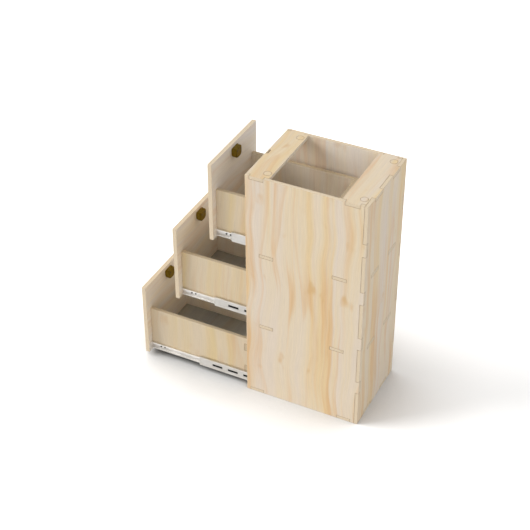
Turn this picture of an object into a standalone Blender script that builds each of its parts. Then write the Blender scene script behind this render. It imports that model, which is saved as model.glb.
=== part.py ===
"""Campervan kitchen pod: a slot-together plywood carcass with three full-extension drawers.

X runs to the right as seen from the drawer side, Y runs back and Z runs up. The origin is on
the floor, under the middle of the carcass. Lengths are in metres. The drawers are drawn as
they stand in use, each pulled out by its own distance.
"""

import math

import bmesh
import bpy
from mathutils import Matrix, Vector

# Driving sizes. The depth follows from the slides, which come in set lengths.
WIDTH = 0.318
HEIGHT = 0.900
SLIDE_LENGTH = 0.400
PLY = 0.012
FRONT_PLY = 0.015
JOINT_GAP = 0.0003
OVERRUN = 0.002
BAY_NAMES = ("bottom", "middle", "top")

# How far the drawers stand out, as shares of their full travel
OVER_TRAVEL = 0.002
BOTTOM_OPEN_SHARE = 1.0
MIDDLE_OPEN_SHARE = 0.653
TOP_OPEN_SHARE = 0.297

# Tabs and mortises of the carcass
SIDE_TAB_LENGTH = 0.050
RAIL_TAB_INSET = 0.015
SHELF_TAB_INSET = 0.050
BACK_TAB_LENGTH = 0.060
BACK_TAB_INSET = 0.045
CORNER_TAB_LENGTH = 0.050
CORNER_TAB_COUNT = 4

# Top rails and the plugs over their fixing holes
RAIL_DEPTH = 0.080
PLUG_RADIUS = 0.0125
PLUG_THICKNESS = 0.005
PLUG_SIDE_INSET = 0.038
PLUG_FRONT_INSET = 0.0625

# Drawers
FRONT_GAP = 0.003
CLOSED_GAP = 0.001
BOX_PLY = 0.012
BOX_LIFT = 0.012
BOX_HEIGHT = 0.178
BOX_TAB_LENGTH = 0.030
BOX_TAB_INSET = 0.025
FRONT_POCKET_DEPTH = 0.006
BACK_SETBACK = 0.008
BOTTOM_PLY = 0.006
BOTTOM_LIFT = 0.012
BOTTOM_INLET = 0.005

# Drawer slides: three channels rolled from sheet steel, one inside the other
SLIDE_THICKNESS = 0.0127
SLIDE_SETBACK = 0.003
SLIDE_LIFT = 0.026
SLIDE_REAR_SPACE = 0.009
SHEET = 0.0012
LIP = 0.003
BEND_RADIUS = 0.0016
CABINET_MEMBER_HEIGHT = 0.0455
INTERMEDIATE_HEIGHT = 0.036
DRAWER_MEMBER_HEIGHT = 0.025
INTERMEDIATE_SETBACK = 0.0005
INTERMEDIATE_TRAVEL_SHARE = 0.5
WEB_GAP = 0.0008
WEB_GROOVE_HEIGHT = 0.0155
WEB_GROOVE_DEPTH = 0.001
WINDOW_LENGTH = 0.040
WINDOW_HEIGHT = 0.009
WINDOW_PITCH = 0.062
WINDOW_END_INSET = 0.0725
SCREW_HOLE_RADIUS = 0.0023
SCREW_HOLE_INSET = 0.0365
ADJUSTING_SLOT_WIDTH = 0.003
ADJUSTING_SLOT_HEIGHT = 0.008
ADJUSTING_SLOT_INSET = 0.052
PILOT_HOLE_RADIUS = 0.0017
PILOT_HOLE_INSET = 0.064
CABINET_HOLE_INSET = 0.037

# Push-button locks
LOCK_AXIS_DROP = 0.037
LOCK_TOP_DROP = 0.014
LOCK_FLANGE_WIDTH = 0.043
LOCK_FLANGE_HEIGHT = 0.038
LOCK_FLANGE_THICKNESS = 0.0035
LOCK_FLANGE_CORNER = 0.021
LOCK_HOUSING_WIDTH = 0.039
LOCK_HOUSING_HEIGHT = 0.0365
LOCK_HOUSING_CORNER = 0.013
LOCK_TOP_CORNER = 0.005
LOCK_DEPTH = 0.017
LOCK_ROUND = 0.0016
KNOB_RADIUS = 0.009
KNOB_TRAVEL = 0.011
KNOB_RECESS = 0.002
KNOB_END_GAP = 0.0045
KNOB_ROUND = 0.0018
KNOB_DISH_RADIUS = 0.0055
KNOB_DISH_DEPTH = 0.0006
KNOB_CLEARANCE = 0.0006
COLLAR_RADIUS = 0.016
COLLAR_PROUD = 0.002
COLLAR_ROUND = 0.0009
COLLAR_WALL = 0.003
COLLAR_CLEARANCE = 0.0004
BOLT_WIDTH = 0.020
BOLT_THICKNESS = 0.0048
BOLT_LENGTH = 0.0117
BOLT_PROUD = 0.0015
BOLT_SETBACK = 0.0056
BOLT_NOSE = 0.0032

# Slots in the shelves and the front rail that take the bolts
STRIKE_SIDE_CLEARANCE = 0.0035
STRIKE_CLEARANCE = 0.0006

# Facets
SHARP_DEGREES = 35
FLAT_DEGREES = 0.1
ROUND_STEPS = 28
PLUG_STEPS = 24
HOLE_STEPS = 10
CORNER_STEPS = 5
BEND_STEPS = 2
EDGE_STEPS = 2

# Places that follow from the sizes above
DEPTH = SLIDE_SETBACK + SLIDE_LENGTH + SLIDE_REAR_SPACE + PLY
FULL_TRAVEL = SLIDE_LENGTH + OVER_TRAVEL
OPEN_SHARES = dict(zip(BAY_NAMES, (BOTTOM_OPEN_SHARE, MIDDLE_OPEN_SHARE, TOP_OPEN_SHARE)))
INNER_WIDTH = WIDTH - 2 * PLY
INNER_DEPTH = DEPTH - PLY
CARCASS_FRONT = -DEPTH / 2
BAY_PITCH = (HEIGHT - PLY) / len(BAY_NAMES)
BOX_LENGTH = SLIDE_LENGTH
BOX_HALF_WIDTH = INNER_WIDTH / 2 - SLIDE_THICKNESS - 2 * JOINT_GAP
BOX_INNER_HALF = BOX_HALF_WIDTH - BOX_PLY
BOX_BACK_FACE = BOX_LENGTH - BACK_SETBACK - BOX_PLY
BOTTOM_UNDERSIDE = BOX_LIFT + BOTTOM_LIFT
SLIDE_PLANE = INNER_WIDTH / 2 - JOINT_GAP
INTERMEDIATE_WEB = SHEET + WEB_GAP
DRAWER_MEMBER_EDGE = INTERMEDIATE_WEB + SHEET + WEB_GAP
MEMBER_DEPTH = SLIDE_THICKNESS - SHEET
LOCK_AXIS = BAY_PITCH - LOCK_AXIS_DROP
LOCK_TOP = BAY_PITCH - LOCK_TOP_DROP
COLLAR_BORE_RADIUS = KNOB_RADIUS + KNOB_CLEARANCE
SLEEVE_RADIUS = COLLAR_BORE_RADIUS + COLLAR_WALL
FRONT_BORE_RADIUS = SLEEVE_RADIUS + COLLAR_CLEARANCE
LOCK_CAVITY_DEPTH = KNOB_TRAVEL - KNOB_RECESS + KNOB_END_GAP
STRIKE_FRONT = BOLT_SETBACK - CLOSED_GAP - STRIKE_CLEARANCE
STRIKE_REAR = BOLT_SETBACK - CLOSED_GAP + BOLT_THICKNESS + STRIKE_CLEARANCE
STRIKE_HALF_WIDTH = BOLT_WIDTH / 2 + STRIKE_SIDE_CLEARANCE

# Frames that stand a flat outline up: its normal runs along X, against Y, or along Z
NORMAL_X = Matrix(((0, 0, 1), (1, 0, 0), (0, 1, 0)))
NORMAL_Y = Matrix(((1, 0, 0), (0, 0, -1), (0, 1, 0)))
NORMAL_Z = Matrix.Identity(3)
SIDEWAYS = Vector((1, 0, 0))
BACKWARDS = Vector((0, 1, 0))
UP = Vector((0, 0, 1))

# Finishes: colour, roughness, metallic
POPLAR = ((0.78, 0.64, 0.45, 1.0), 0.6, 0.0)
PLUG_WOOD = ((0.74, 0.60, 0.42, 1.0), 0.6, 0.0)
ZINC = ((0.72, 0.73, 0.74, 1.0), 0.35, 1.0)
LOCK_CASE = ((0.10, 0.06, 0.015, 1.0), 0.4, 0.0)
LOCK_METAL = ((0.60, 0.61, 0.62, 1.0), 0.25, 1.0)


def clear_scene():
    """Start from an empty file."""
    for item in list(bpy.data.objects):
        bpy.data.objects.remove(item, do_unlink=True)


def add_object(name, mesh, finish, parent, place=(0, 0, 0)):
    """Put a mesh into the scene as one named piece with a material of its own."""
    piece = bpy.data.objects.new(name, mesh)
    bpy.context.scene.collection.objects.link(piece)
    colour, roughness, metallic = finish
    material = bpy.data.materials.new(name)
    material.use_nodes = True
    shader = material.node_tree.nodes["Principled BSDF"]
    shader.inputs["Base Color"].default_value = colour
    shader.inputs["Roughness"].default_value = roughness
    shader.inputs["Metallic"].default_value = metallic
    if not mesh.materials:
        mesh.materials.append(None)
    piece.material_slots[0].link = "OBJECT"
    piece.material_slots[0].material = material
    piece.parent = parent
    piece.location = place
    return piece


def add_empty(name, place, parent=None):
    """Add the frame that carries a group of pieces."""
    frame = bpy.data.objects.new(name, None)
    bpy.context.scene.collection.objects.link(frame)
    frame.location = place
    frame.parent = parent
    return frame


def finish_mesh(name, form, smooth=False):
    """Turn a closed bmesh into a mesh with its faces pointing out."""
    bmesh.ops.recalc_face_normals(form, faces=form.faces)
    mesh = bpy.data.meshes.new(name)
    form.to_mesh(mesh)
    form.free()
    if smooth:
        mesh.shade_smooth()
        mesh.set_sharp_from_angle(angle=math.radians(SHARP_DEGREES))
    return mesh


def join_forms(forms):
    """Gather several closed forms into one."""
    whole = bmesh.new()
    for form in forms:
        part = bpy.data.meshes.new("part")
        form.to_mesh(part)
        form.free()
        whole.from_mesh(part)
        bpy.data.meshes.remove(part)
    return whole


def combine(target, tool, operation):
    """Cut a tool out of a form, or join it on, and give back the result."""
    bodies = []
    for form in (target, tool):
        mesh = finish_mesh("body", form)
        body = bpy.data.objects.new("body", mesh)
        bpy.context.scene.collection.objects.link(body)
        bodies.append(body)
    modifier = bodies[0].modifiers.new("boolean", "BOOLEAN")
    modifier.operation = operation
    modifier.solver = "EXACT"
    modifier.object = bodies[1]
    evaluated = bodies[0].evaluated_get(bpy.context.evaluated_depsgraph_get())
    result = bmesh.new()
    result.from_mesh(evaluated.to_mesh())
    evaluated.to_mesh_clear()
    for body in bodies:
        mesh = body.data
        bpy.data.objects.remove(body, do_unlink=True)
        bpy.data.meshes.remove(mesh)
    flat = math.radians(FLAT_DEGREES)
    bmesh.ops.dissolve_limit(result, angle_limit=flat, verts=result.verts, edges=result.edges)
    return result


def side(start, end, spans=(), reach=0.0):
    """Points along one side of an outline, stepping out by reach over each span, or in."""
    run = Vector(end) - Vector(start)
    axis = 0 if abs(run.x) > abs(run.y) else 1
    forward = run[axis] > 0
    step = Vector((run.y, -run.x)).normalized() * reach
    points = [Vector(start)]
    for low, high in sorted(spans, reverse=not forward):
        first, last = (low, high) if forward else (high, low)
        near = Vector(start)
        near[axis] = first
        far = Vector(start)
        far[axis] = last
        points += [near, near + step, far + step, far]
    return points


def rectangle(low, high):
    """The four corners of an upright rectangle."""
    return [Vector(low), Vector((high[0], low[1])), Vector(high), Vector((low[0], high[1]))]


def arc(centre, radius, start, sweep, steps):
    """Points along an arc, its start and sweep in degrees, both ends included."""
    turns = (math.radians(start + sweep * step / steps) for step in range(steps + 1))
    return [Vector(centre) + Vector((math.cos(turn), math.sin(turn))) * radius for turn in turns]


def circle(centre, radius, steps):
    """Points round a circle."""
    return arc(centre, radius, 0, 360, steps)[:-1]


def rounded_rectangle(low, high, lower_radius, upper_radius, steps):
    """A rectangle whose lower and upper corners are rounded by their own radii."""
    corners = (
        (low[0], low[1], 1, 1, lower_radius, 180),
        (high[0], low[1], -1, 1, lower_radius, 270),
        (high[0], high[1], -1, -1, upper_radius, 0),
        (low[0], high[1], 1, -1, upper_radius, 90),
    )
    points = []
    for u, v, inward_u, inward_v, radius, start in corners:
        centre = (u + inward_u * radius, v + inward_v * radius)
        points += arc(centre, radius, start, 90, steps)
    return points


def extrude(loops, thickness, frame, origin):
    """Fill an outline, leaving its further loops open as holes, and give it a thickness."""
    form = bmesh.new()
    for loop in loops:
        verts = [form.verts.new((point.x, point.y, 0)) for point in loop]
        for first, second in zip(verts, verts[1:] + verts[:1]):
            form.edges.new((first, second))
    bmesh.ops.triangle_fill(form, use_beauty=True, use_dissolve=False, edges=form.edges)
    solid = bmesh.ops.extrude_face_region(form, geom=form.faces[:])
    raised = [item for item in solid["geom"] if isinstance(item, bmesh.types.BMVert)]
    bmesh.ops.translate(form, verts=raised, vec=(0, 0, thickness))
    bmesh.ops.transform(form, verts=form.verts, matrix=Matrix.Translation(origin) @ frame.to_4x4())
    return form


def block(low, high):
    """A plain box between two corners."""
    size = Vector(high) - Vector(low)
    form = bmesh.new()
    bmesh.ops.create_cube(form, size=1)
    bmesh.ops.scale(form, verts=form.verts, vec=size)
    bmesh.ops.translate(form, verts=form.verts, vec=Vector(low) + size / 2)
    return form


def drum(centre, radius, low, high, steps, axis):
    """A closed cylinder along one axis, between two places on it."""
    form = bmesh.new()
    bmesh.ops.create_cone(
        form, cap_ends=True, segments=steps, radius1=radius, radius2=radius, depth=high - low
    )
    turn = UP.rotation_difference(axis).to_matrix()
    bmesh.ops.rotate(form, verts=form.verts, cent=(0, 0, 0), matrix=turn)
    bmesh.ops.translate(form, verts=form.verts, vec=Vector(centre) + axis * (low + high) / 2)
    return form


def turned(profile, steps):
    """Turn a profile of (radius, y) points about the Y axis. Points on the axis close it."""
    form = bmesh.new()
    verts = [form.verts.new((radius, y, 0)) for radius, y in profile]
    pairs = list(zip(verts, verts[1:]))
    if profile[0][0] > 0:
        pairs.append((verts[-1], verts[0]))
    for first, second in pairs:
        form.edges.new((first, second))
    bmesh.ops.spin(
        form, geom=form.verts[:] + form.edges[:], axis=(0, 1, 0), cent=(0, 0, 0),
        angle=2 * math.pi, steps=steps, use_merge=True,
    )
    bmesh.ops.remove_doubles(form, verts=form.verts, dist=JOINT_GAP / 10)
    return form


def tab_pair(inset, length, total):
    """Two tabs, each the same way in from its end of a side."""
    return [(inset, inset + length), (total - inset - length, total - inset)]


def widened(spans):
    """The same spans with the joint's clearance at both ends."""
    return [(low - JOINT_GAP, high + JOINT_GAP) for low, high in spans]


def corner_tabs():
    """Heights of the tabs that pass from a side panel through the back."""
    space = (HEIGHT - CORNER_TAB_COUNT * CORNER_TAB_LENGTH) / (CORNER_TAB_COUNT + 1)
    starts = (space + number * (space + CORNER_TAB_LENGTH) for number in range(CORNER_TAB_COUNT))
    return [(start, start + CORNER_TAB_LENGTH) for start in starts]


def shelf_undersides():
    """Heights of the undersides of the lower and the upper shelf."""
    return [BAY_PITCH * number for number in range(1, len(BAY_NAMES))]


def side_panel():
    """A side panel, seen from its outer face: front edge at 0, floor at 0."""
    rear = INNER_DEPTH - JOINT_GAP
    edge_tabs = widened(tab_pair(RAIL_TAB_INSET, SIDE_TAB_LENGTH, INNER_DEPTH))
    notch = -(PLY + JOINT_GAP)
    outline = side((0, 0), (rear, 0), edge_tabs, notch)
    outline += side((rear, 0), (rear, HEIGHT), corner_tabs(), DEPTH - rear)
    outline += side((rear, HEIGHT), (0, HEIGHT), edge_tabs, notch)
    outline += side((0, HEIGHT), (0, 0))
    loops = [outline]
    for underside in shelf_undersides():
        for low, high in widened(tab_pair(SHELF_TAB_INSET, SIDE_TAB_LENGTH, INNER_DEPTH)):
            loops.append(rectangle((low, underside - JOINT_GAP), (high, underside + PLY + JOINT_GAP)))
    return loops


def back_tabs():
    """Places across the full width where shelves, base and rear rail pass through the back."""
    return [(low + PLY, high + PLY) for low, high in tab_pair(BACK_TAB_INSET, BACK_TAB_LENGTH, INNER_WIDTH)]


def back_panel():
    """The back panel, full width, seen from behind its left edge."""
    notch = -(PLY + JOINT_GAP)
    across = widened(back_tabs())
    upright = widened(corner_tabs())
    outline = side((0, 0), (WIDTH, 0), across, notch)
    outline += side((WIDTH, 0), (WIDTH, HEIGHT), upright, notch)
    outline += side((WIDTH, HEIGHT), (0, HEIGHT), across, notch)
    outline += side((0, HEIGHT), (0, 0), upright, notch)
    loops = [outline]
    for underside in shelf_undersides():
        for low, high in across:
            loops.append(rectangle((low, underside - JOINT_GAP), (high, underside + PLY + JOINT_GAP)))
    return loops


def level_panel(front, rear, side_tabs, rear_tabs, strike):
    """A shelf, base or rail between the side panels, with its tabs at both ends."""
    left = PLY + JOINT_GAP
    right = WIDTH - PLY - JOINT_GAP
    reach = PLY + JOINT_GAP
    outline = side((left, front), (right, front))
    outline += side((right, front), (right, rear), side_tabs, reach)
    outline += side((right, rear), (left, rear), rear_tabs, reach)
    outline += side((left, rear), (left, front), side_tabs, reach)
    loops = [outline]
    if strike:
        low = (WIDTH / 2 - STRIKE_HALF_WIDTH, STRIKE_FRONT)
        high = (WIDTH / 2 + STRIKE_HALF_WIDTH, STRIKE_REAR)
        loops.append(rectangle(low, high))
    return loops


def add_rail(name, front, rear, side_tabs, rear_tabs, strike, frame):
    """A top rail with two blind recesses, and the flush wooden plug that fills each of them."""
    corner = Vector((-WIDTH / 2, CARCASS_FRONT, HEIGHT - PLY))
    form = extrude(level_panel(front, rear, side_tabs, rear_tabs, strike), PLY, NORMAL_Z, corner)
    recesses = []
    plug_floor = HEIGHT - PLUG_THICKNESS
    for side_name, hand in (("left", -1), ("right", 1)):
        x = hand * (WIDTH / 2 - PLUG_SIDE_INSET)
        centre = (x, CARCASS_FRONT + front + PLUG_FRONT_INSET, 0)
        recesses.append(
            drum(centre, PLUG_RADIUS + JOINT_GAP, plug_floor - JOINT_GAP, HEIGHT + OVERRUN, PLUG_STEPS, UP)
        )
        plug_name = f"{name}_plug_{side_name}"
        plug = drum(centre, PLUG_RADIUS, plug_floor, HEIGHT, PLUG_STEPS, UP)
        add_object(plug_name, finish_mesh(plug_name, plug, smooth=True), PLUG_WOOD, frame)
    form = combine(form, join_forms(recesses), "DIFFERENCE")
    add_object(name, finish_mesh(name, form), POPLAR, frame)


def build_carcass(frame):
    """The fixed box of sides, back, base, shelves and top rails."""
    left_front = Vector((-WIDTH / 2, CARCASS_FRONT, 0))
    for name, x in (("side_panel_left", -WIDTH / 2), ("side_panel_right", WIDTH / 2 - PLY)):
        form = extrude(side_panel(), PLY, NORMAL_X, (x, CARCASS_FRONT, 0))
        add_object(name, finish_mesh(name, form), POPLAR, frame)
    form = extrude(back_panel(), PLY, NORMAL_Y, (-WIDTH / 2, DEPTH / 2, 0))
    add_object("back_panel", finish_mesh("back_panel", form), POPLAR, frame)

    rear = INNER_DEPTH - JOINT_GAP
    edge_tabs = tab_pair(RAIL_TAB_INSET, SIDE_TAB_LENGTH, INNER_DEPTH)
    shelf_tabs = tab_pair(SHELF_TAB_INSET, SIDE_TAB_LENGTH, INNER_DEPTH)
    undersides = shelf_undersides()
    levels = (
        ("base_panel", 0, edge_tabs, False),
        ("lower_shelf", undersides[0], shelf_tabs, True),
        ("upper_shelf", undersides[1], shelf_tabs, True),
    )
    for name, underside, side_tabs, strike in levels:
        loops = level_panel(0, rear, side_tabs, back_tabs(), strike)
        form = extrude(loops, PLY, NORMAL_Z, left_front + Vector((0, 0, underside)))
        add_object(name, finish_mesh(name, form), POPLAR, frame)

    rear_front = INNER_DEPTH - RAIL_DEPTH
    add_rail("front_rail", 0, RAIL_DEPTH, edge_tabs[:1], [], True, frame)
    add_rail("rear_rail", rear_front, rear, edge_tabs[1:], back_tabs(), False, frame)


def box_tabs():
    """Heights of the tabs at both ends of a drawer side, above the bay's floor."""
    spans = tab_pair(BOX_TAB_INSET, BOX_TAB_LENGTH, BOX_HEIGHT)
    return [(low + BOX_LIFT, high + BOX_LIFT) for low, high in spans]


def bottom_groove(low_x, high_x, low_y, high_y):
    """The space that a groove for the drawer bottom takes out of its neighbours."""
    return block(
        (low_x, low_y, BOTTOM_UNDERSIDE - JOINT_GAP),
        (high_x, high_y, BOTTOM_UNDERSIDE + BOTTOM_PLY + JOINT_GAP),
    )


def drawer_front():
    """The front, bored for the lock and pocketed for the box's tabs and bottom."""
    loops = [
        rectangle((-WIDTH / 2, FRONT_GAP), (WIDTH / 2, BAY_PITCH)),
        circle((0, LOCK_AXIS), FRONT_BORE_RADIUS, ROUND_STEPS),
    ]
    form = extrude(loops, FRONT_PLY, NORMAL_Y, (0, 0, 0))
    pocket_floor = -(FRONT_POCKET_DEPTH + JOINT_GAP)
    tools = []
    for hand in (-1, 1):
        faces = sorted((hand * (BOX_INNER_HALF - JOINT_GAP), hand * (BOX_HALF_WIDTH + JOINT_GAP)))
        for low, high in widened(box_tabs()):
            tools.append(block((faces[0], pocket_floor, low), (faces[1], OVERRUN, high)))
    reach = BOX_INNER_HALF + BOTTOM_INLET + JOINT_GAP
    tools.append(bottom_groove(-reach, reach, -(BOTTOM_INLET + JOINT_GAP), OVERRUN))
    return combine(form, join_forms(tools), "DIFFERENCE")


def drawer_side(hand):
    """A side of the box: tabs into the front, mortises for the back, a groove for the bottom."""
    low_z = BOX_LIFT
    high_z = BOX_LIFT + BOX_HEIGHT
    front = JOINT_GAP
    outline = side((front, low_z), (BOX_LENGTH, low_z))
    outline += side((BOX_LENGTH, low_z), (BOX_LENGTH, high_z))
    outline += side((BOX_LENGTH, high_z), (front, high_z))
    outline += side((front, high_z), (front, low_z), box_tabs(), FRONT_POCKET_DEPTH + front)
    loops = [outline]
    for low, high in widened(box_tabs()):
        mortise_front = BOX_BACK_FACE - JOINT_GAP
        mortise_rear = BOX_BACK_FACE + BOX_PLY + JOINT_GAP
        loops.append(rectangle((mortise_front, low), (mortise_rear, high)))
    inner, outer = sorted((hand * BOX_INNER_HALF, hand * BOX_HALF_WIDTH))
    form = extrude(loops, outer - inner, NORMAL_X, (inner, 0, 0))
    low_x, high_x = sorted(
        (hand * (BOX_INNER_HALF - OVERRUN), hand * (BOX_INNER_HALF + BOTTOM_INLET + JOINT_GAP))
    )
    groove_end = BOX_BACK_FACE + BOTTOM_INLET + JOINT_GAP
    return combine(form, bottom_groove(low_x, high_x, -OVERRUN, groove_end), "DIFFERENCE")


def drawer_back():
    """The back of the box, tabbed through both sides."""
    half = BOX_INNER_HALF - JOINT_GAP
    low_z = BOX_LIFT
    high_z = BOX_LIFT + BOX_HEIGHT
    reach = BOX_HALF_WIDTH - half
    outline = side((-half, low_z), (half, low_z))
    outline += side((half, low_z), (half, high_z), box_tabs(), reach)
    outline += side((half, high_z), (-half, high_z))
    outline += side((-half, high_z), (-half, low_z), box_tabs(), reach)
    form = extrude([outline], BOX_PLY, NORMAL_Y, (0, BOX_BACK_FACE + BOX_PLY, 0))
    span = BOX_HALF_WIDTH + OVERRUN
    groove = bottom_groove(-span, span, BOX_BACK_FACE - OVERRUN, BOX_BACK_FACE + BOTTOM_INLET + JOINT_GAP)
    return combine(form, groove, "DIFFERENCE")


def drawer_bottom():
    """The thin bottom, let into grooves on all four sides."""
    half = BOX_INNER_HALF + BOTTOM_INLET
    return block(
        (-half, -BOTTOM_INLET, BOTTOM_UNDERSIDE),
        (half, BOX_BACK_FACE + BOTTOM_INLET, BOTTOM_UNDERSIDE + BOTTOM_PLY),
    )


def bend(corner, before, after, radius):
    """A bend round a square corner between two directions, as points from the first to the second."""
    centre = Vector(corner) - Vector(before) * radius + Vector(after) * radius
    start = math.degrees(math.atan2(-after[1], -after[0]))
    turn = before[0] * after[1] - before[1] * after[0]
    return arc(centre, radius, start, math.copysign(90, turn), BEND_STEPS)


def channel_profile(web, edge, half_height, groove_depth=0):
    """Section of a rolled channel: a web, two flanges and a lip along each edge.

    The web can have a groove pressed into it, towards the channel's open side.
    """
    out = 1 if edge > web else -1
    groove_half = WEB_GROOVE_HEIGHT / 2
    skin = []
    for inset, radius in ((0, BEND_RADIUS), (SHEET, BEND_RADIUS - SHEET)):
        back = web + out * inset
        face = edge - out * inset
        top = half_height - inset
        lip_end = (face, half_height - LIP)
        flange = bend((face, top), (0, 1), (-out, 0), radius)
        flange += bend((back, top), (-out, 0), (0, -1), radius)
        if groove_depth:
            flange.append(Vector((back, groove_half)))
            flange.append(Vector((back + out * groove_depth, groove_half - groove_depth)))
        skin.append([Vector(lip_end)] + flange)
    outer, inner = skin
    upper = outer + [Vector((point.x, -point.y)) for point in reversed(outer)]
    lower = inner + [Vector((point.x, -point.y)) for point in reversed(inner)]
    return upper + lower[::-1]


def run_along(loop, hand, start, length):
    """Run a slide section along Y on one side of the pod, at the slide's height."""
    points = [Vector((hand * (SLIDE_PLANE - point.x), point.y)) for point in loop]
    return extrude([points], length, NORMAL_Y, (0, start + length, SLIDE_LIFT))


def web_slot(hand, web, middle, length, height):
    """A block that opens a slot in a channel's web, round its middle line."""
    low_x, high_x = sorted(
        (hand * (SLIDE_PLANE - web + OVERRUN / 2), hand * (SLIDE_PLANE - web - SHEET - OVERRUN / 2))
    )
    low = (low_x, middle - length / 2, SLIDE_LIFT - height / 2)
    high = (high_x, middle + length / 2, SLIDE_LIFT + height / 2)
    return block(low, high)


def web_hole(hand, web, middle, radius):
    """A round cutter through a channel's web, on its middle line."""
    centre = (hand * (SLIDE_PLANE - web - SHEET / 2), middle, SLIDE_LIFT)
    half = (SHEET + OVERRUN) / 2
    return drum(centre, radius, -half, half, HOLE_STEPS, SIDEWAYS)


def cabinet_member(hand):
    """The outer channel, screwed to the carcass side."""
    loop = channel_profile(0, MEMBER_DEPTH, CABINET_MEMBER_HEIGHT / 2)
    form = run_along(loop, hand, SLIDE_SETBACK, SLIDE_LENGTH)
    holes = [
        web_hole(hand, 0, SLIDE_SETBACK + inset, SCREW_HOLE_RADIUS)
        for inset in (CABINET_HOLE_INSET, SLIDE_LENGTH / 2, SLIDE_LENGTH - CABINET_HOLE_INSET)
    ]
    return combine(form, join_forms(holes), "DIFFERENCE")


def intermediate_member(hand):
    """The middle channel, with a row of windows along the groove in its web."""
    loop = channel_profile(
        INTERMEDIATE_WEB, MEMBER_DEPTH, INTERMEDIATE_HEIGHT / 2, WEB_GROOVE_DEPTH
    )
    form = run_along(loop, hand, INTERMEDIATE_SETBACK, SLIDE_LENGTH)
    windows = []
    groove = INTERMEDIATE_WEB + WEB_GROOVE_DEPTH
    for number in range(1 + int((SLIDE_LENGTH - 2 * WINDOW_END_INSET) / WINDOW_PITCH)):
        middle = INTERMEDIATE_SETBACK + WINDOW_END_INSET + number * WINDOW_PITCH
        windows.append(web_slot(hand, groove, middle, WINDOW_LENGTH, WINDOW_HEIGHT))
    return combine(form, join_forms(windows), "DIFFERENCE")


def drawer_member(hand):
    """The inner channel, screwed to the drawer side, its two ends punched alike."""
    web = SLIDE_THICKNESS - SHEET
    loop = channel_profile(SLIDE_THICKNESS, DRAWER_MEMBER_EDGE, DRAWER_MEMBER_HEIGHT / 2)
    form = run_along(loop, hand, JOINT_GAP, SLIDE_LENGTH)
    cuts = []
    for end, inward in ((JOINT_GAP, 1), (JOINT_GAP + SLIDE_LENGTH, -1)):
        cuts.append(web_hole(hand, web, end + inward * SCREW_HOLE_INSET, SCREW_HOLE_RADIUS))
        cuts.append(web_hole(hand, web, end + inward * PILOT_HOLE_INSET, PILOT_HOLE_RADIUS))
        middle = end + inward * ADJUSTING_SLOT_INSET
        cuts.append(web_slot(hand, web, middle, ADJUSTING_SLOT_WIDTH, ADJUSTING_SLOT_HEIGHT))
    return combine(form, join_forms(cuts), "DIFFERENCE")


def soften_rear(form, rear, amount):
    """Round over the sharp rim of a form's rear face."""
    bmesh.ops.recalc_face_normals(form, faces=form.faces)
    sharp = math.radians(SHARP_DEGREES)
    rim = [
        edge for edge in form.edges
        if edge.calc_face_angle() > sharp and all(abs(vert.co.y - rear) < JOINT_GAP for vert in edge.verts)
    ]
    bmesh.ops.bevel(form, geom=rim, offset=amount, segments=EDGE_STEPS, affect="EDGES")


def lock_shell(width, height, corner, front, rear):
    """One thickness of the lock's case: square at the top, its lower corners well rounded."""
    low = (-width / 2, LOCK_TOP - height)
    high = (width / 2, LOCK_TOP)
    outline = rounded_rectangle(low, high, corner, LOCK_TOP_CORNER, CORNER_STEPS)
    return extrude([outline], rear - front, NORMAL_Y, (0, rear, 0))


def lock_body():
    """The lock's case on the inside of the front, with the knob's bore and the bolt's slot."""
    flange_rear = JOINT_GAP + LOCK_FLANGE_THICKNESS
    form = lock_shell(
        LOCK_FLANGE_WIDTH, LOCK_FLANGE_HEIGHT, LOCK_FLANGE_CORNER, JOINT_GAP, flange_rear
    )
    inside = flange_rear - LOCK_FLANGE_THICKNESS / 2
    housing = lock_shell(
        LOCK_HOUSING_WIDTH, LOCK_HOUSING_HEIGHT, LOCK_HOUSING_CORNER, inside, LOCK_DEPTH
    )
    soften_rear(housing, LOCK_DEPTH, LOCK_ROUND)
    form = combine(form, housing, "UNION")
    centre = (0, 0, LOCK_AXIS)
    cavity = drum(centre, COLLAR_BORE_RADIUS, -OVERRUN, LOCK_CAVITY_DEPTH, ROUND_STEPS, BACKWARDS)
    half_bolt = BOLT_WIDTH / 2 + JOINT_GAP
    slot_floor = LOCK_TOP + BOLT_PROUD - BOLT_LENGTH - JOINT_GAP
    slot = block(
        (-half_bolt, BOLT_SETBACK - JOINT_GAP, slot_floor),
        (half_bolt, BOLT_SETBACK + BOLT_THICKNESS + JOINT_GAP, LOCK_TOP + OVERRUN),
    )
    return combine(form, join_forms([cavity, slot]), "DIFFERENCE")


def lock_collar():
    """The turned ring and sleeve that line the front's bore."""
    face = -(FRONT_PLY + JOINT_GAP)
    proud = -(FRONT_PLY + COLLAR_PROUD)
    rounded = arc((COLLAR_RADIUS - COLLAR_ROUND, proud + COLLAR_ROUND), COLLAR_ROUND, 270, 90, EDGE_STEPS)
    profile = [(COLLAR_BORE_RADIUS, proud)] + rounded
    profile += [(COLLAR_RADIUS, face), (SLEEVE_RADIUS, face)]
    profile += [(SLEEVE_RADIUS, -JOINT_GAP), (COLLAR_BORE_RADIUS, -JOINT_GAP)]
    return turned(profile, ROUND_STEPS)


def lock_knob():
    """The button, standing out ready to be pressed home, with a shallow dish in its end."""
    tip = -(FRONT_PLY + COLLAR_PROUD + KNOB_TRAVEL)
    rounded = arc((KNOB_RADIUS - KNOB_ROUND, tip + KNOB_ROUND), KNOB_ROUND, 270, 90, EDGE_STEPS)
    profile = [(0, tip + KNOB_DISH_DEPTH), (KNOB_DISH_RADIUS, tip)] + rounded
    profile += [(KNOB_RADIUS, -KNOB_RECESS), (0, -KNOB_RECESS)]
    return turned(profile, ROUND_STEPS)


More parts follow.
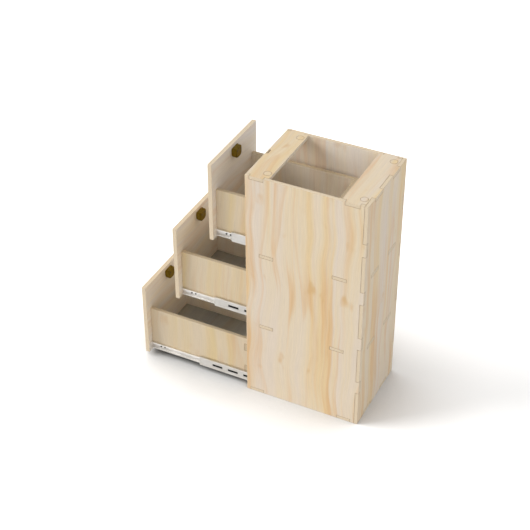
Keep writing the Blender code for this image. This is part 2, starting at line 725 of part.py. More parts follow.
def lock_bolt():
    """The latch bolt, its rear edge sloped so that it rides under the strike when it closes."""
    top = LOCK_TOP + BOLT_PROUD
    bottom = top - BOLT_LENGTH
    front = BOLT_SETBACK
    rear = BOLT_SETBACK + BOLT_THICKNESS
    corners = (
        (front, bottom), (rear, bottom), (rear, top - BOLT_NOSE), (rear - BOLT_NOSE, top), (front, top),
    )
    outline = [Vector(corner) for corner in corners]
    return extrude([outline], BOLT_WIDTH, NORMAL_X, (-BOLT_WIDTH / 2, 0, 0))


def lock_meshes():
    """The four pieces of a lock, shared by all three drawers."""
    return {
        "lock_body": (finish_mesh("lock_body", lock_body(), smooth=True), LOCK_CASE, 0),
        "lock_collar": (finish_mesh("lock_collar", lock_collar(), smooth=True), LOCK_METAL, LOCK_AXIS),
        "lock_knob": (finish_mesh("lock_knob", lock_knob(), smooth=True), LOCK_METAL, LOCK_AXIS),
        "lock_bolt": (finish_mesh("lock_bolt", lock_bolt()), LOCK_CASE, 0),
    }


def box_meshes():
    """The wooden pieces of a drawer, shared by all three drawers."""
    return {
        "drawer_front": finish_mesh("drawer_front", drawer_front()),
        "drawer_side_left": finish_mesh("drawer_side_left", drawer_side(-1)),
        "drawer_side_right": finish_mesh("drawer_side_right", drawer_side(1)),
        "drawer_back": finish_mesh("drawer_back", drawer_back()),
        "drawer_bottom": finish_mesh("drawer_bottom", drawer_bottom()),
    }


def slide_meshes():
    """The channels of one drawer's pair of slides."""
    members = (
        ("cabinet_member", cabinet_member),
        ("intermediate_member", intermediate_member),
        ("drawer_member", drawer_member),
    )
    meshes = {}
    for member, make in members:
        for side_name, hand in (("left", -1), ("right", 1)):
            meshes[f"{side_name}_{member}"] = finish_mesh(member, make(hand))
    return meshes


def slide_travel_share(name):
    """How far a channel of a slide moves, as a share of its drawer's travel."""
    if "cabinet" in name:
        return 0
    return INTERMEDIATE_TRAVEL_SHARE if "intermediate" in name else 1


def build_drawers(carcass):
    """Three drawers alike, each pulled out by its own distance with its slides drawn along."""
    boxes = box_meshes()
    locks = lock_meshes()
    slides = slide_meshes()
    for number, bay in enumerate(BAY_NAMES):
        opened = FULL_TRAVEL * OPEN_SHARES[bay]
        home = add_empty(f"{bay}_bay", (0, CARCASS_FRONT, number * BAY_PITCH + PLY), carcass)
        drawer = add_empty(f"{bay}_drawer", (0, -opened, 0), home)
        for name, mesh in boxes.items():
            add_object(f"{bay}_{name}", mesh, POPLAR, drawer)
        for name, (mesh, finish, height) in locks.items():
            add_object(f"{bay}_{name}", mesh, finish, drawer, (0, 0, height))
        for name, mesh in slides.items():
            travel = opened * slide_travel_share(name)
            add_object(f"{bay}_{name}", mesh, ZINC, home, (0, -travel, 0))


def main():
    """Build the whole pod."""
    clear_scene()
    carcass = add_empty("carcass", (0, 0, 0))
    build_carcass(carcass)
    build_drawers(carcass)
    bpy.context.view_layer.update()


main()
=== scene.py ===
"""Looks of a campervan kitchen pod.

A slot-together poplar plywood carcass with three drawers. The drawers run on zinc plated ball-bearing slides
and are held by push-button locks with brown cases.
"""

import logging
import math
from dataclasses import dataclass, field
from enum import Enum

import bmesh
import bpy
from bpy.types import Material, MeshPolygon, Node, NodeSocket, NodeTree, Object
from mathutils import Matrix, Vector
from mathutils.bvhtree import BVHTree


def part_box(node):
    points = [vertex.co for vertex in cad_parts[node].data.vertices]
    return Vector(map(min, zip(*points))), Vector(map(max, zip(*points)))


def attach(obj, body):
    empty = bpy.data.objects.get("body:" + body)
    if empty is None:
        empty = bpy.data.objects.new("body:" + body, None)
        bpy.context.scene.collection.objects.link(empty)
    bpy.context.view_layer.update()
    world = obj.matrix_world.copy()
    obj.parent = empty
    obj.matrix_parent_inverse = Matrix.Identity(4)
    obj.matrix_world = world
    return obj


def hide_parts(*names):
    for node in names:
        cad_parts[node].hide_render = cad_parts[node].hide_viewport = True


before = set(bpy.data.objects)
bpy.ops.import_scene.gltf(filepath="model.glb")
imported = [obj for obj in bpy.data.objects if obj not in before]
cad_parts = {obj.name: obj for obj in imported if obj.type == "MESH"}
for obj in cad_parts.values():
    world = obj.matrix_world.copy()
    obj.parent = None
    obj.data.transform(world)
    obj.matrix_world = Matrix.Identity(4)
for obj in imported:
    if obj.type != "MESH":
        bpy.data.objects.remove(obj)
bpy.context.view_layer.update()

log = logging.getLogger("kitchen_pod")

# A size across and along the grain, or the two ends of a range.
Pair = tuple[float, float]

MM = 0.001
BAYS = ("bottom", "middle", "top")
# The two sides of the pod, each with the way along X that its outside looks.
HANDS = {"left": -1, "right": 1}
BLACK, WHITE = "#000000", "#ffffff"


class Axis(Enum):
    """A direction of the pod: across it, from front to back, or up."""

    ACROSS = (1.0, 0.0, 0.0)
    BACK = (0.0, 1.0, 0.0)
    UP = (0.0, 0.0, 1.0)


@dataclass(frozen=True)
class Lay:
    """How a board lies in the pod: which way its thickness and its face grain run."""

    thickness: Axis
    grain: Axis
    plies: int = 5


# The ways that the boards lie. A plug is turned from one piece of wood.
UPRIGHT_SIDE = Lay(Axis.ACROSS, Axis.UP)
UPRIGHT_BACK = Lay(Axis.BACK, Axis.UP)
LEVEL = Lay(Axis.UP, Axis.ACROSS)
PLUG = Lay(Axis.UP, Axis.ACROSS, plies=1)

CARCASS_BOARDS = {
    "side_panel_left": UPRIGHT_SIDE,
    "side_panel_right": UPRIGHT_SIDE,
    "back_panel": UPRIGHT_BACK,
    "base_panel": LEVEL,
    "lower_shelf": LEVEL,
    "upper_shelf": LEVEL,
    "front_rail": LEVEL,
    "rear_rail": LEVEL,
    "front_rail_plug_left": PLUG,
    "front_rail_plug_right": PLUG,
    "rear_rail_plug_left": PLUG,
    "rear_rail_plug_right": PLUG,
}
DRAWER_BOARDS = {
    "drawer_front": Lay(Axis.BACK, Axis.ACROSS, plies=7),
    "drawer_side_left": UPRIGHT_SIDE,
    "drawer_side_right": UPRIGHT_SIDE,
    "drawer_back": UPRIGHT_BACK,
    "drawer_bottom": Lay(Axis.UP, Axis.ACROSS, plies=3),
}


def colour(code: str) -> tuple[float, float, float, float]:
    """Turn an sRGB hex value into the linear colour that a shader takes.

    Args:
        code: The colour, such as "#e6d5b8".

    Returns:
        Linear red, green, blue and an alpha of one.
    """
    # The sRGB curve: a straight foot, then a power.
    foot, foot_slope, offset, scale, power = 0.04045, 12.92, 0.055, 1.055, 2.4
    parts = [int(code[start:start + 2], 16) / 255 for start in (1, 3, 5)]
    linear = [part / foot_slope if part <= foot else ((part + offset) / scale) ** power for part in parts]
    return (*linear, 1.0)


def add_node(
    tree: NodeTree,
    kind: str,
    inputs: dict | None = None,
    stops: tuple[tuple[float, str], ...] = (),
    **settings: object,
) -> Node:
    """Add a shader node, set it up and link it.

    Args:
        tree: The material's or the world's node tree.
        kind: The node's type, without its ShaderNode prefix.
        inputs: Input sockets by name or number, each with a value or with the output that feeds it.
        stops: For a colour ramp, places from 0 to 1, each with its hex colour.
        settings: The node's own properties.

    Returns:
        The new node.
    """
    node = tree.nodes.new("ShaderNode" + kind)
    for name, value in settings.items():
        setattr(node, name, value)
    for socket, value in (inputs or {}).items():
        if isinstance(value, NodeSocket):
            tree.links.new(value, node.inputs[socket])
        else:
            node.inputs[socket].default_value = value
    for number, (place, code) in enumerate(stops):
        elements = node.color_ramp.elements
        element = elements[number] if number < len(elements) else elements.new(place)
        element.position = place
        element.color = colour(code)
    return node


def new_material(name: str) -> tuple[Material, NodeTree, Node]:
    """Start a material on a Principled shader.

    Args:
        name: What the finish is called.

    Returns:
        The material, its node tree and its Principled node.
    """
    material = bpy.data.materials.new(name)
    material.use_nodes = True
    tree = material.node_tree
    return material, tree, tree.nodes["Principled BSDF"]


def dress(piece: Object, material: Material) -> None:
    """Give a piece one material all over."""
    piece.data.materials.clear()
    piece.data.materials.append(material)


def deselect_all() -> None:
    """Leave object mode with nothing selected."""
    if bpy.context.mode != "OBJECT":
        bpy.ops.object.mode_set(mode="OBJECT")
    bpy.ops.object.select_all(action="DESELECT")


def choose(piece: Object) -> None:
    """Make one object the only one selected, and the active one.

    Args:
        piece: The object.
    """
    deselect_all()
    piece.select_set(True)
    bpy.context.view_layer.objects.active = piece


def copied(source: Object, name: str, move: Matrix | None = None) -> Object:
    """Copy an object with a mesh of its own.

    Args:
        source: The object.
        name: What the copy is called.
        move: Where its points go, or nothing to leave them in place.

    Returns:
        The copy, at the origin.
    """
    piece = bpy.data.objects.new(name, source.data.copy())
    bpy.context.scene.collection.objects.link(piece)
    if move:
        piece.data.transform(move)
    return piece


def refined(node: Object, name: str, ease: float) -> Object:
    """Copy a CAD node, join its triangles into whole faces and take the sharpness off its outward edges.

    Args:
        node: The CAD node.
        name: What the copy is called.
        ease: How wide the sanded or rounded edge is, in metres.

    Returns:
        The copy.
    """
    weld, flat_degrees, sharp_degrees = 0.00001, 0.5, 60.0
    piece = copied(node, name)
    choose(piece)
    bpy.ops.object.mode_set(mode="EDIT")
    bpy.ops.mesh.select_mode(type="EDGE")
    bpy.ops.mesh.select_all(action="SELECT")
    bpy.ops.mesh.remove_doubles(threshold=weld)
    bpy.ops.mesh.dissolve_limited(angle_limit=math.radians(flat_degrees))
    if ease:
        bpy.ops.mesh.select_all(action="DESELECT")
        form = bmesh.from_edit_mesh(piece.data)
        for edge in form.edges:
            edge.select = edge.is_convex and edge.calc_face_angle(0.0) > math.radians(sharp_degrees)
        bmesh.update_edit_mesh(piece.data)
        bpy.ops.mesh.bevel(offset=ease, segments=1, affect="EDGES")
    deselect_all()
    return piece


def smooth(piece: Object) -> None:
    """Shade the bends of a piece as round, and leave its flats flat.

    Args:
        piece: The piece.
    """
    smooth_degrees = 50.0
    choose(piece)
    bpy.ops.object.shade_smooth_by_angle(angle=math.radians(smooth_degrees))
    bpy.ops.object.modifier_add(type="WEIGHTED_NORMAL")
    piece.modifiers[-1].keep_sharp = True
    bpy.ops.object.modifier_apply(modifier=piece.modifiers[-1].name)
    deselect_all()


@dataclass(frozen=True)
class PoplarPlywood:
    """Rotary-cut poplar plywood, cut on a router, sanded and sealed with a clear matt lacquer.

    The face veneer is peeled off the log, so its colour runs in long soft streaks of grey, cream and orange,
    with here and there a wide flame where the knife crossed a growth ring, and a few brown smudges. The edges
    show the crossed plies, of which every other one is end grain, and the router leaves its cuts a little
    scorched; along the joints the scorch is darkened further by painted shade for the gap between boards.
    Faces that look into the pod are painted paler and duller: painted light that lifts their shade and takes
    out the warm cast that light picks up bouncing between the boards.

    Sizes are in millimetres, across the grain and along it. A span gives the values of a texture between which
    a colour comes up, and a share says how much of the colour shows at most.
    """

    grey: str = "#e6d6c2"
    cream: str = "#e8d6b9"
    straw: str = "#e9cfa2"
    ash: str = "#e3d4c5"
    honey: str = "#e0b682"
    smudge: str = "#d8ad70"
    long_ply: str = "#ebdabf"
    end_ply: str = "#e2cfb0"
    glue: str = "#c4a67c"
    # The router's scorch, darkened further as painted shade of the gap where boards meet.
    scorch_and_gap_shade: str = "#a98a62"
    figure: float = 1.0
    sheet_step: Pair = (173.0, 389.0)
    sway_size: Pair = (260.0, 330.0)
    sway: float = 70.0
    ground_size: Pair = (46.0, 1300.0)
    ground_span: tuple[float, float, float] = (0.34, 0.5, 0.66)
    ash_size: Pair = (18.0, 800.0)
    ash_span: Pair = (0.5, 0.76)
    ash_share: float = 0.55
    honey_size: Pair = (20.0, 620.0)
    honey_span: Pair = (0.8, 1.14)
    honey_share: float = 0.8
    cloud_size: Pair = (110.0, 340.0)
    cloud_share: float = 0.6
    flame_size: Pair = (130.0, 1500.0)
    flame_span: Pair = (0.1, 0.7)
    flame_share: float = 0.5
    flame_count: float = 5.0
    flame_rise: tuple[float, float, float] = (0.5, 0.86, 0.92)
    smudge_size: Pair = (58.0, 105.0)
    smudge_span: Pair = (0.62, 0.8)
    smudge_share: float = 0.7
    vein_size: Pair = (4.0, 150.0)
    vein_share: float = 0.9
    fibre_size: Pair = (0.8, 34.0)
    fibre_span: Pair = (0.55, 1.35)
    shade_range: Pair = (0.925, 1.095)
    shade_share: float = 1.0
    # Painted light on the inner faces: how much of their saturation stays, and how far their value is lifted.
    inside_painted_saturation: float = 0.62
    inside_painted_lift: float = 1.1
    glue_share: float = 0.05
    roughness: float = 0.52
    bump_height: float = 0.00006
    bump_strength: float = 0.6

    def material(self, name: str, lay: Lay, low: Vector, high: Vector, seed: int) -> Material:
        """Make the material for one board.

        Args:
            name: The material's name.
            lay: The way the board lies.
            low: The board's lowest corner.
            high: The board's highest corner.
            seed: A number that picks the board's own place on the sheet of veneer.

        Returns:
            The material.
        """
        on_face_limit = 0.9
        material, tree, shader = new_material(name)
        grain, depth = Vector(lay.grain.value), Vector(lay.thickness.value)
        turn = Matrix((grain.cross(depth) * -1, depth, grain)).to_euler()
        thickness = (high - low).dot(depth)
        underside = low.dot(depth)
        coords = add_node(tree, "TexCoord")
        place = add_node(tree, "Mapping", {
            "Vector": coords.outputs["Object"],
            "Location": (seed * self.sheet_step[0], -underside / MM, seed * self.sheet_step[1]),
            "Rotation": turn,
            "Scale": (1 / MM, 1 / MM, 1 / MM),
        }).outputs[0]
        veneer, height = self.veneer(tree, place)
        plies = self.plies(tree, coords, place, lay, thickness)
        facing = add_node(tree, "VectorMath", {
            0: coords.outputs["Normal"], 1: depth,
        }, operation="DOT_PRODUCT")
        square = add_node(tree, "Math", {0: facing.outputs["Value"]}, operation="ABSOLUTE")
        on_face = add_node(tree, "Math", {0: square.outputs[0], 1: on_face_limit}, operation="GREATER_THAN")
        surface = add_node(tree, "Mix", {
            "Factor": on_face.outputs[0], "A": plies, "B": veneer,
        }, data_type="RGBA")
        # Arrises along a joint: the router's scorch, with painted shade for the gap between the boards.
        seam = add_node(tree, "Attribute", attribute_name="seam")
        cut = add_node(tree, "Mix", {
            "Factor": seam.outputs["Fac"], "A": surface.outputs["Result"], "B": colour(self.scorch_and_gap_shade),
        }, data_type="RGBA")
        # Painted light: inner faces are made paler and less warm, to lift their shade and the warm cast of
        # bounced light.
        inside = add_node(tree, "Attribute", attribute_name="inside")
        dull = add_node(tree, "MapRange", {
            "Value": inside.outputs["Fac"], "To Min": 1.0, "To Max": self.inside_painted_saturation,
        })
        pale = add_node(tree, "MapRange", {
            "Value": inside.outputs["Fac"], "To Min": 1.0, "To Max": self.inside_painted_lift,
        })
        painted_inner_light = add_node(tree, "HueSaturation", {
            "Saturation": dull.outputs[0], "Value": pale.outputs[0], "Color": cut.outputs["Result"],
        })
        tree.links.new(painted_inner_light.outputs[0], shader.inputs["Base Color"])
        bump = add_node(tree, "Bump", {
            "Height": height, "Distance": self.bump_height, "Strength": self.bump_strength,
        })
        tree.links.new(bump.outputs[0], shader.inputs["Normal"])
        shader.inputs["Roughness"].default_value = self.roughness
        return material

    def drawn_out(
        self,
        tree: NodeTree,
        place: NodeSocket,
        size: Pair,
        **inputs: float,
    ) -> NodeSocket:
        """Add a noise that is drawn out along the grain.

        Args:
            tree: The node tree.
            place: Millimetres across, through and along the board.
            size: The pattern's width across the grain and its length along it, in millimetres.
            inputs: Further inputs of the noise.

        Returns:
            The noise's value.
        """
        width, length = size
        scaled = add_node(tree, "Mapping", {
            "Vector": place, "Scale": (1 / width, 1 / width, 1 / length),
        })
        return add_node(tree, "TexNoise", {"Vector": scaled.outputs[0], "Scale": 1.0, **inputs}).outputs[0]

    def patch(
        self,
        tree: NodeTree,
        source: NodeSocket,
        span: Pair,
        share: float,
        base: NodeSocket,
        code: str,
    ) -> NodeSocket:
        """Lay a colour over the base where a texture is high.

        Args:
            tree: The node tree.
            source: The texture.
            span: The values between which the colour comes up.
            share: How much of the colour shows at most, on a board with its full figure.
            base: The colour underneath.
            code: The colour that is laid over it.

        Returns:
            The new colour.
        """
        amount = add_node(tree, "MapRange", {
            "Value": source, "From Min": span[0], "From Max": span[1], "To Max": share * self.figure,
        }, interpolation_type="SMOOTHSTEP")
        return add_node(tree, "Mix", {
            "Factor": amount.outputs[0], "A": base, "B": colour(code),
        }, data_type="RGBA").outputs["Result"]

    def veneer(self, tree: NodeTree, place: NodeSocket) -> tuple[NodeSocket, NodeSocket]:
        """Add the colour and the height of the face veneer.

        Args:
            tree: The node tree.
            place: Millimetres across, through and along the board.

        Returns:
            The colour, and the fibre that also serves as bump height.
        """
        # The streaks sway to both sides of the grain, so the noise is centred first.
        middle = 0.5
        leaning = self.drawn_out(tree, place, self.sway_size, Detail=1.0)
        centred = add_node(tree, "Math", {0: leaning, 1: middle}, operation="SUBTRACT")
        aside = add_node(tree, "VectorMath", {
            0: (self.sway, 0.0, 0.0), "Scale": centred.outputs[0],
        }, operation="SCALE")
        place = add_node(tree, "VectorMath", {0: place, 1: aside.outputs[0]}).outputs[0]
        # The ground drifts from grey to straw, with ashen streaks over it.
        drift = self.drawn_out(tree, place, self.ground_size, Detail=2.0, Distortion=0.2)
        tones = (self.grey, self.cream, self.straw)
        stops = tuple(zip(self.ground_span, tones))
        ground = add_node(tree, "ValToRGB", {"Fac": drift}, stops=stops).outputs[0]
        cloud = self.drawn_out(tree, place, self.cloud_size, Detail=1.5)
        ashen = self.drawn_out(tree, place, self.ash_size, Detail=2.0, Distortion=0.2)
        toned = self.patch(tree, ashen, self.ash_span, self.ash_share, ground, self.ash)
        # Honey streaks come in clouds.
        streaks = self.drawn_out(tree, place, self.honey_size, Detail=2.0, Distortion=0.3)
        clouded = add_node(tree, "Math", {
            0: cloud, 1: self.cloud_share, 2: streaks,
        }, operation="MULTIPLY_ADD").outputs[0]
        toned = self.patch(tree, clouded, self.honey_span, self.honey_share, toned, self.honey)
        # Growth rings: each flame deepens slowly on one side and ends sharply on the other.
        wide = self.drawn_out(tree, place, self.flame_size, Detail=2.0, Distortion=0.3)
        rings = add_node(tree, "Math", {0: wide, 1: self.flame_count}, operation="MULTIPLY")
        phase = add_node(tree, "Math", {0: rings.outputs[0]}, operation="FRACT")
        start, full, fall = self.flame_rise
        band = add_node(tree, "ValToRGB", {"Fac": phase.outputs[0]}, stops=(
            (0.0, BLACK), (start, BLACK), (full, WHITE), (fall, WHITE), (1.0, BLACK),
        ))
        flame = add_node(tree, "Math", {0: band.outputs[0], 1: cloud}, operation="MULTIPLY").outputs[0]
        toned = self.patch(tree, flame, self.flame_span, self.flame_share, toned, self.honey)
        stain = self.drawn_out(tree, place, self.smudge_size, Detail=2.0)
        toned = self.patch(tree, stain, self.smudge_span, self.smudge_share, toned, self.smudge)
        # Veins and fibres shade it all.
        vein = self.drawn_out(tree, place, self.vein_size, Detail=2.0)
        fibre = self.drawn_out(tree, place, self.fibre_size, Detail=2.0)
        both = add_node(tree, "Math", {0: vein, 1: self.vein_share, 2: fibre}, operation="MULTIPLY_ADD")
        shade = add_node(tree, "MapRange", {
            "Value": both.outputs[0],
            "From Min": self.fibre_span[0], "From Max": self.fibre_span[1],
            "To Min": self.shade_range[0] * self.shade_share, "To Max": self.shade_range[1] * self.shade_share,
        })
        shaded = add_node(tree, "VectorMath", {0: toned, "Scale": shade.outputs[0]}, operation="SCALE")
        return shaded.outputs[0], fibre

    def plies(
        self,
        tree: NodeTree,
        coords: Node,
        place: NodeSocket,
        lay: Lay,
        thickness: float,
    ) -> NodeSocket:
        """Add the colour of the board's edges, ply by ply.

        Args:
            tree: The node tree.
            coords: The Texture Coordinate node.
            place: Millimetres across, through and along the board.
            lay: The way the board lies.
            thickness: The board's thickness in metres.

        Returns:
            The colour.
        """
        # Depth is counted in plies. On a cut across the grain the two kinds of ply change places.
        end_limit, half_ply, whole_ply = 0.5, 0.5, 1.0
        ply = thickness / lay.plies / MM
        through = add_node(tree, "SeparateXYZ", {0: place}).outputs["Y"]
        layer = add_node(tree, "Math", {0: through, 1: ply}, operation="DIVIDE")
        number = add_node(tree, "Math", {0: layer.outputs[0]}, operation="FLOOR")
        along = add_node(tree, "VectorMath", {
            0: coords.outputs["Normal"], 1: lay.grain.value,
        }, operation="DOT_PRODUCT")
        square = add_node(tree, "Math", {0: along.outputs["Value"]}, operation="ABSOLUTE")
        cut_end = add_node(tree, "Math", {0: square.outputs[0], 1: end_limit}, operation="GREATER_THAN")
        counted = add_node(tree, "Math", {0: number.outputs[0], 1: cut_end.outputs[0]}, operation="ADD")
        parity = add_node(tree, "Math", {0: counted.outputs[0], 1: whole_ply}, operation="PINGPONG")
        toned = add_node(tree, "Mix", {
            "Factor": parity.outputs[0], "A": colour(self.long_ply), "B": colour(self.end_ply),
        }, data_type="RGBA")
        joint = add_node(tree, "Math", {0: layer.outputs[0], 1: half_ply}, operation="PINGPONG")
        line = add_node(tree, "Math", {0: joint.outputs[0], 1: self.glue_share}, operation="LESS_THAN")
        return add_node(tree, "Mix", {
            "Factor": line.outputs[0], "A": toned.outputs["Result"], "B": colour(self.glue),
        }, data_type="RGBA").outputs["Result"]


@dataclass(frozen=True)
class ZincPlate:
    """Cold-rolled steel strip with bright zinc plating: pale, a little clouded, with faint rolling lines."""

    light: str = "#d6d3ce"
    dark: str = "#cbc7c1"
    cloud_size: float = 45.0
    cloud_span: Pair = (0.35, 0.6)
    line_width: float = 0.5
    line_length: float = 45.0
    roughness_low: float = 0.36
    roughness_high: float = 0.46

    def material(self, name: str) -> Material:
        """Make the material.

        Args:
            name: The material's name.

        Returns:
            The material.
        """
        material, tree, shader = new_material(name)
        coords = add_node(tree, "TexCoord").outputs["Object"]
        cloud = add_node(tree, "TexNoise", {
            "Vector": coords, "Scale": 1 / (self.cloud_size * MM), "Detail": 2.0,
        })
        rolled = add_node(tree, "Mapping", {
            "Vector": coords,
            "Scale": (1 / self.line_width / MM, 1 / self.line_length / MM, 1 / self.line_width / MM),
        })
        lines = add_node(tree, "TexNoise", {"Vector": rolled.outputs[0], "Scale": 1.0, "Detail": 2.0})
        tones = (self.dark, self.light)
        toned = add_node(tree, "ValToRGB", {"Fac": cloud.outputs[0]}, stops=tuple(zip(self.cloud_span, tones)))
        rough = add_node(tree, "MapRange", {
            "Value": lines.outputs[0], "To Min": self.roughness_low, "To Max": self.roughness_high,
        })
        tree.links.new(toned.outputs[0], shader.inputs["Base Color"])
        tree.links.new(rough.outputs[0], shader.inputs["Roughness"])
        shader.inputs["Metallic"].default_value = 1.0
        return material


@dataclass(frozen=True)
class FineMetal:
    """Turned or ground metal: even in colour, its polish broken up by fine marks."""

    tone: str
    mark_pitch: float
    roughness_low: float
    roughness_high: float

    def material(self, name: str) -> Material:
        """Make the material.

        Args:
            name: The material's name.

        Returns:
            The material.
        """
        material, tree, shader = new_material(name)
        coords = add_node(tree, "TexCoord").outputs["Object"]
        fine = add_node(tree, "TexNoise", {
            "Vector": coords, "Scale": 1 / (self.mark_pitch * MM), "Detail": 2.0,
        })
        rough = add_node(tree, "MapRange", {
            "Value": fine.outputs[0], "To Min": self.roughness_low, "To Max": self.roughness_high,
        })
        tree.links.new(rough.outputs[0], shader.inputs["Roughness"])
        shader.inputs["Base Color"].default_value = colour(self.tone)
        shader.inputs["Metallic"].default_value = 1.0
        return material


# A lock's button and collar: nickel plate, warm in tone and satin from its turning marks.
SATIN_NICKEL = FineMetal(tone="#c9c4bb", mark_pitch=0.4, roughness_low=0.26, roughness_high=0.36)
# The balls: hard steel, ground and polished almost to a mirror.
BALL_STEEL = FineMetal(tone="#b4b6b9", mark_pitch=0.9, roughness_low=0.08, roughness_high=0.14)
# The screws: steel blackened and oiled, with a dull shine.
BLACKENED_STEEL = FineMetal(tone="#4a4846", mark_pitch=0.5, roughness_low=0.38, roughness_high=0.5)


@dataclass(frozen=True)
class MouldedPlastic:
    """A moulded, filled plastic: satin, with flow marks and a fine grain from the filler."""

    deep: str
    light: str
    roughness: float
    flow_size: float = 7.0
    flow_span: Pair = (0.35, 0.7)
    grain_size: float = 0.5
    gloss_share: float = 0.12
    bump_height: float = 0.00005
    bump_strength: float = 0.5

    def material(self, name: str) -> Material:
        """Make the material.

        Args:
            name: The material's name.

        Returns:
            The material.
        """
        material, tree, shader = new_material(name)
        coords = add_node(tree, "TexCoord").outputs["Object"]
        flow = add_node(tree, "TexNoise", {
            "Vector": coords, "Scale": 1 / (self.flow_size * MM), "Detail": 3.0, "Distortion": 0.8,
        })
        tones = (self.deep, self.light)
        toned = add_node(tree, "ValToRGB", {"Fac": flow.outputs[0]}, stops=tuple(zip(self.flow_span, tones)))
        grain = add_node(tree, "TexNoise", {"Vector": coords, "Scale": 1 / (self.grain_size * MM)})
        bump = add_node(tree, "Bump", {
            "Height": grain.outputs[0], "Distance": self.bump_height, "Strength": self.bump_strength,
        })
        tree.links.new(toned.outputs[0], shader.inputs["Base Color"])
        tree.links.new(bump.outputs[0], shader.inputs["Normal"])
        shader.inputs["Roughness"].default_value = self.roughness
        shader.inputs["Specular IOR Level"].default_value = self.gloss_share
        return material


# A lock's case: filled nylon, a brown that leans to olive.
BROWN_NYLON = MouldedPlastic(deep="#735a12", light="#816818", roughness=0.48)
# A lock's bolt: the same, a shade lighter.
LIGHT_BROWN_NYLON = MouldedPlastic(deep="#7c6518", light="#8a7124", roughness=0.45)
# The ball cages: acetal, black and satin.
BLACK_ACETAL = MouldedPlastic(deep="#141210", light="#22201d", roughness=0.4)


@dataclass
class PlywoodBoards:
    """Every plywood board and plug, its arrises eased with sandpaper."""

    ease: float = 0.0006
    seam_reach: float = 0.001
    inside_reach: float = 0.5
    carcass_finish: PoplarPlywood = field(default_factory=PoplarPlywood)
    box_finish: PoplarPlywood = field(default_factory=lambda: PoplarPlywood(
        shade_share=0.9, figure=0.5, grey="#e6d3b6", cream="#e7d3b2", straw="#e7cf9f", ash="#e3d2bd",
        # The plies of the edges are darker with painted shade, and the inner faces get more painted light.
        long_ply="#d3c1a3", end_ply="#cab898", inside_painted_lift=1.2,
    ))
    # Painted shade: the thin bottoms are grey for the shade inside each drawer.
    bottom_finish: PoplarPlywood = field(default_factory=lambda: PoplarPlywood(
        grey="#9b9993", cream="#a3a097", straw="#a6a194", ash="#98958e", honey="#a09786", smudge="#948a7c",
    ))

    def neighbours(self, name: str, others: list[str]) -> BVHTree:
        """Collect the boards that one board may touch.

        Args:
            name: The board.
            others: The boards of its body.

        Returns:
            The surfaces of all of them but the board itself.
        """
        points, faces = [], []
        for other in others:
            if other == name:
                continue
            mesh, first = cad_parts[other].data, len(points)
            points += [vert.co.copy() for vert in mesh.vertices]
            faces += [[first + corner for corner in face.vertices] for face in mesh.polygons]
        return BVHTree.FromPolygons(points, faces)

    def mark_faces(self, piece: Object, near: BVHTree) -> None:
        """Mark the eased arrises along a joint, scorched and with painted shade for the gap, and the inner
        faces, which get painted light.

        A face is an inner one where another board stands in front of it. All faces of one plane get one
        mark, so that no difference shows where they meet.

        Args:
            piece: The board.
            near: The boards round it.
        """
        straight, clear = 0.9, 0.002
        seam = piece.data.attributes.new("seam", "FLOAT", "FACE")
        inside = piece.data.attributes.new("inside", "FLOAT", "FACE")
        planes: dict[tuple[int, ...], list[MeshPolygon]] = {}
        for face in piece.data.polygons:
            if max(abs(part) for part in face.normal) < straight:
                seam.data[face.index].value = near.find_nearest(face.center, self.seam_reach)[0] is not None
            else:
                way = [round(part) for part in face.normal]
                planes.setdefault((*way, round(face.center.dot(face.normal) / MM)), []).append(face)
        for faces in planes.values():
            hidden = any(
                near.ray_cast(face.center + face.normal * clear, face.normal, self.inside_reach)[0] is not None
                for face in faces
            )
            for face in faces:
                inside.data[face.index].value = hidden

    def finish(self, name: str) -> PoplarPlywood:
        """Pick a board's finish.

        The drawer boxes are a little darker than the carcass and the fronts, and quieter in their figure. The
        ply of their edges is darker still with painted shade.
        Their thin bottoms are painted grey: painted shade for the hollow inside each drawer.

        Args:
            name: The board.

        Returns:
            The finish.
        """
        if name.endswith("_bottom"):
            return self.bottom_finish
        boxed = "_drawer_" in name and not name.endswith("_front")
        return self.box_finish if boxed else self.carcass_finish

    def build(self) -> None:
        """Make and dress every board of the carcass and the drawers."""
        groups = {"carcass": CARCASS_BOARDS}
        for bay in BAYS:
            groups[f"{bay}_drawer"] = {f"{bay}_{part}": lay for part, lay in DRAWER_BOARDS.items()}
        seed = 0
        for body, boards in groups.items():
            for name, lay in boards.items():
                low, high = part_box(name)
                piece = refined(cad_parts[name], name + "_board", self.ease)
                self.mark_faces(piece, self.neighbours(name, list(boards)))
                dress(piece, self.finish(name).material(f"poplar_{name}", lay, low, high, seed))
                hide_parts(name)
                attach(piece, body)
                log.info("%s: wood on %s", piece.name, body)
                seed += 1


